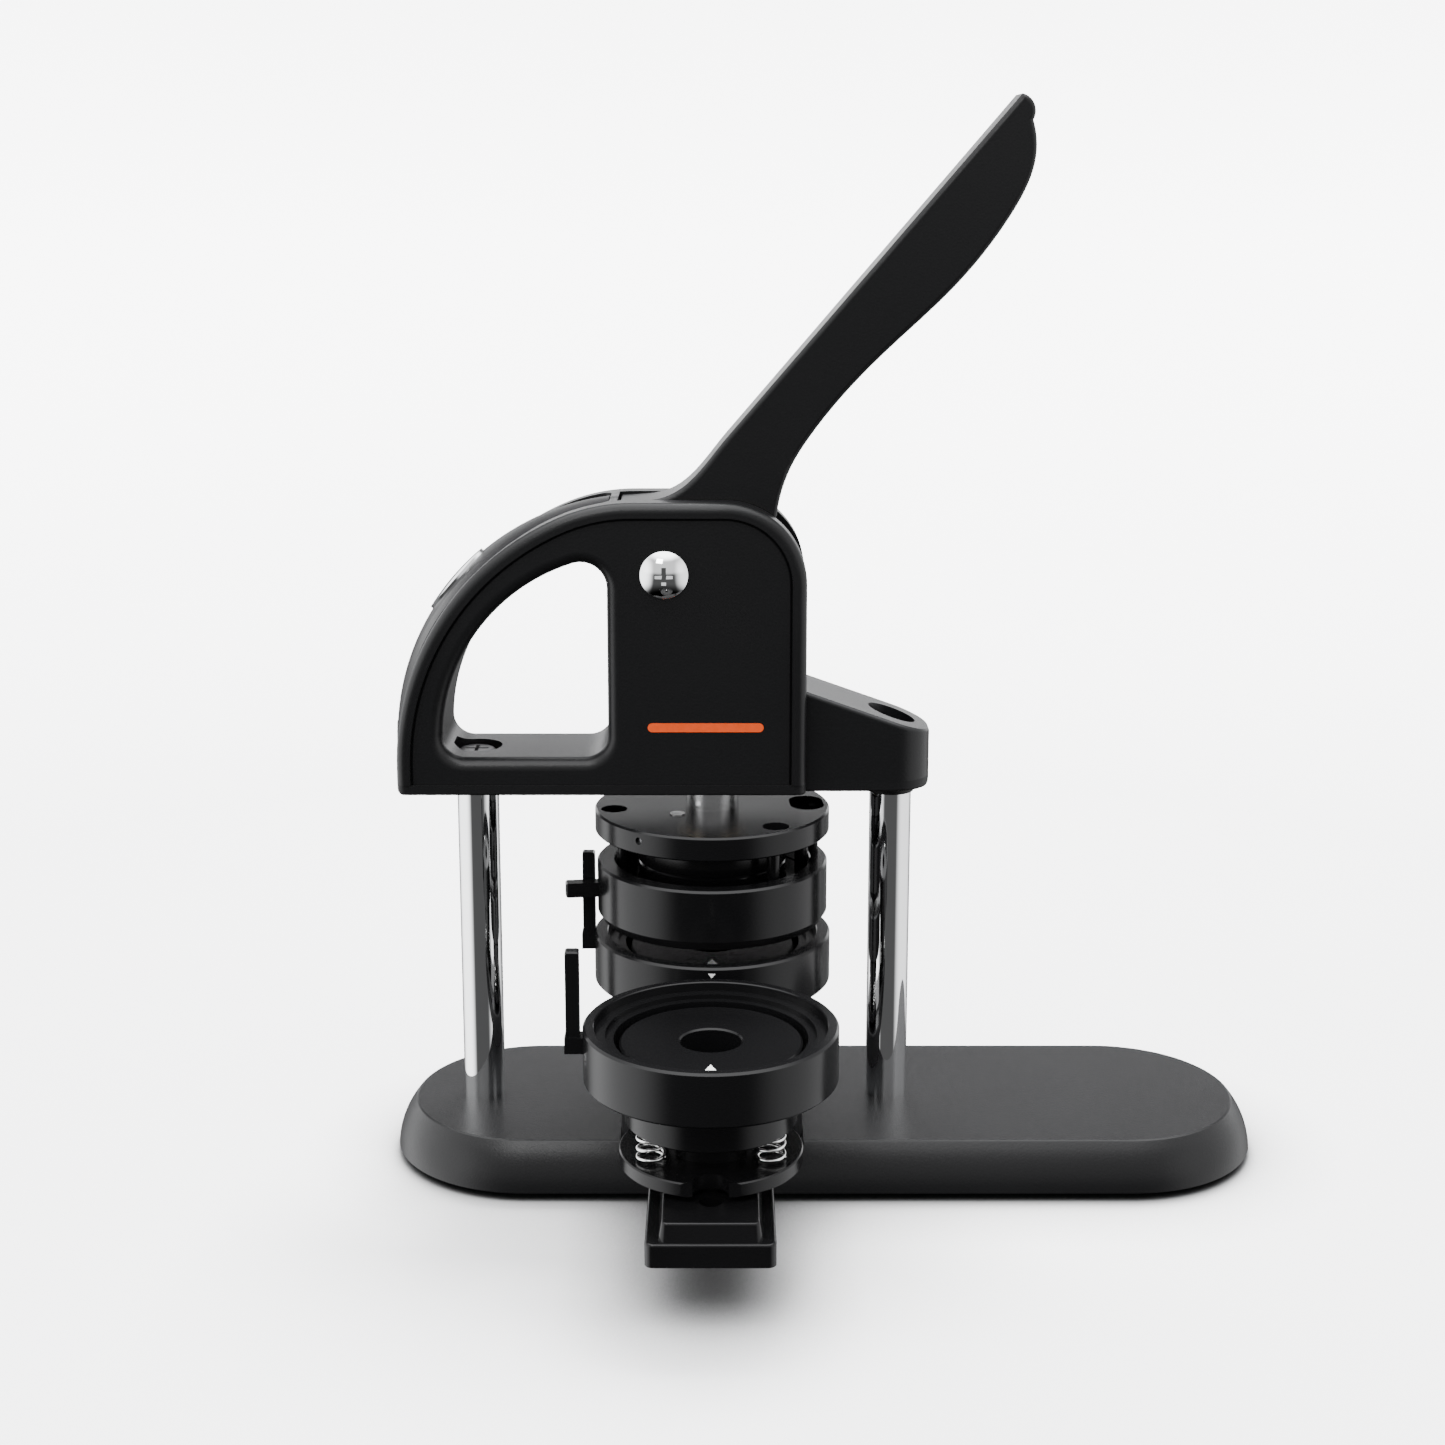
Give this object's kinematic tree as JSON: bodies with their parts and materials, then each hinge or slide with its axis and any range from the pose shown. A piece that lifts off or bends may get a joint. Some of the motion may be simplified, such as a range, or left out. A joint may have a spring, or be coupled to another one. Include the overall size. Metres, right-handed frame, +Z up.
{
  "type": "button badge maker",
  "caption": "Hand-lever press for round pin badges: a racetrack base, chrome posts, a head with a hand window, and a sliding rail that carries lower dies.",
  "frame": {"origin": "on the press axis, at table level, on the underside of the foot below the ram", "axes": "+Z up along the ram, +X along the base away from the left post, -Y towards the operator"},
  "size_m": [0.295, 0.1767, 0.3556],
  "materials": {
    "satin_black_plastic": "satin, fine grain on the rounded borders",
    "matte_black_plastic": "matte moulded",
    "die_black_plastic": "smooth, semi-gloss",
    "chrome": "polished",
    "steel": "turned",
    "screw_steel": "zinc plated",
    "spring_steel": "bright wire",
    "brass": "turned",
    "rubber": "matte"
  },
  "bodies": {
    "frame": {"base_shell": "satin_black_plastic", "base_bottom_plate": "matte_black_plastic", "rubber_feet": "rubber", "base_screws": "screw_steel", "guide_screws": "screw_steel", "post_left": "chrome", "post_right": "chrome", "post_lower_bolts": "screw_steel", "post_collars": "matte_black_plastic", "post_screw_left": "chrome", "post_screw_right": "chrome", "head_front_cover": "satin_black_plastic", "head_rear_cover": "satin_black_plastic", "head_bottom_plate": "matte_black_plastic", "head_arm": "satin_black_plastic", "arm_screws": "screw_steel", "arc_strip": "matte_black_plastic", "name_plate": "chrome", "pivot_bolt": "chrome", "pivot_nut": "screw_steel", "cover_screws": "screw_steel", "ram_bushing": "brass", "bushing_screws": "screw_steel", "return_spring": "spring_steel", "slide_guide": "matte_black_plastic"},
    "lever": {"lever_arm": "satin_black_plastic", "lever_cam": "steel", "cam_pins": "steel", "pivot_bush": "steel"},
    "ram": {"ram_shaft": "steel", "ram_collar": "steel", "upper_plate": "die_black_plastic", "core_upper": "die_black_plastic", "press_disc": "die_black_plastic", "core_bolt": "screw_steel", "guide_pegs": "die_black_plastic", "lock_pin": "steel", "set_screw": "screw_steel"},
    "carrier": {"carrier_ring": "die_black_plastic"},
    "swivel": {"swivel_ring": "die_black_plastic", "ring_retainer": "die_black_plastic", "swivel_arm": "die_black_plastic", "swivel_stop_pin": "die_black_plastic"},
    "slide": {"slide_rail": "die_black_plastic", "die_screws": "screw_steel", "die_core_screws": "screw_steel", "die_a_base": "die_black_plastic", "die_a_core": "die_black_plastic", "die_a_springs": "spring_steel", "die_b_base": "die_black_plastic", "die_b_core": "die_black_plastic", "die_b_springs": "spring_steel"},
    "ring_a": {"die_a_ring": "die_black_plastic", "die_a_cup": "die_black_plastic", "die_a_rod": "die_black_plastic"},
    "ring_b": {"die_b_ring": "die_black_plastic", "die_b_cup": "die_black_plastic", "die_b_rod": "die_black_plastic"}
  },
  "joints": [
    {"name": "lever_pivot", "type": "hinge", "parent": "frame", "child": "lever", "pos_m": [-0.0154, 0, 0.2042], "axis": [0, 1, 0], "range_deg": [0, 50], "stiffness_Nm_per_rad": 0.45, "springref_deg": -68.75},
    {"name": "ram_slide", "type": "slide", "parent": "frame", "child": "ram", "axis": [0, 0, -1], "range_m": [0, 0.0135], "deforming": ["return_spring"]},
    {"name": "carrier_float", "type": "slide", "parent": "ram", "child": "carrier", "axis": [0, 0, 1], "range_m": [0, 0.0086]},
    {"name": "swivel_turn", "type": "hinge", "parent": "carrier", "child": "swivel", "pos_m": [0, 0, 0.095], "axis": [0, 0, -1], "range_deg": [0, 14.6]},
    {"name": "die_slide", "type": "slide", "parent": "frame", "child": "slide", "axis": [0, 1, 0], "range_m": [0, 0.088]},
    {"name": "ring_a_float", "type": "slide", "parent": "slide", "child": "ring_a", "axis": [0, 0, -1], "range_m": [0, 0.005], "stiffness_N_per_m": 900, "springref_m": -0.004, "deforming": ["die_a_springs"]},
    {"name": "ring_b_float", "type": "slide", "parent": "slide", "child": "ring_b", "axis": [0, 0, -1], "range_m": [0, 0.005], "stiffness_N_per_m": 900, "springref_m": -0.004, "deforming": ["die_b_springs"]}
  ],
  "couplings": [
    {"joint": "ram_slide", "follows": "lever_pivot", "m_per_rad": 0.0154},
    {"joint": "carrier_float", "follows": "lever_pivot", "m_per_rad": 0.0098},
    {"joint": "swivel_turn", "follows": "die_slide", "rad_per_m": 2.856}
  ]
}
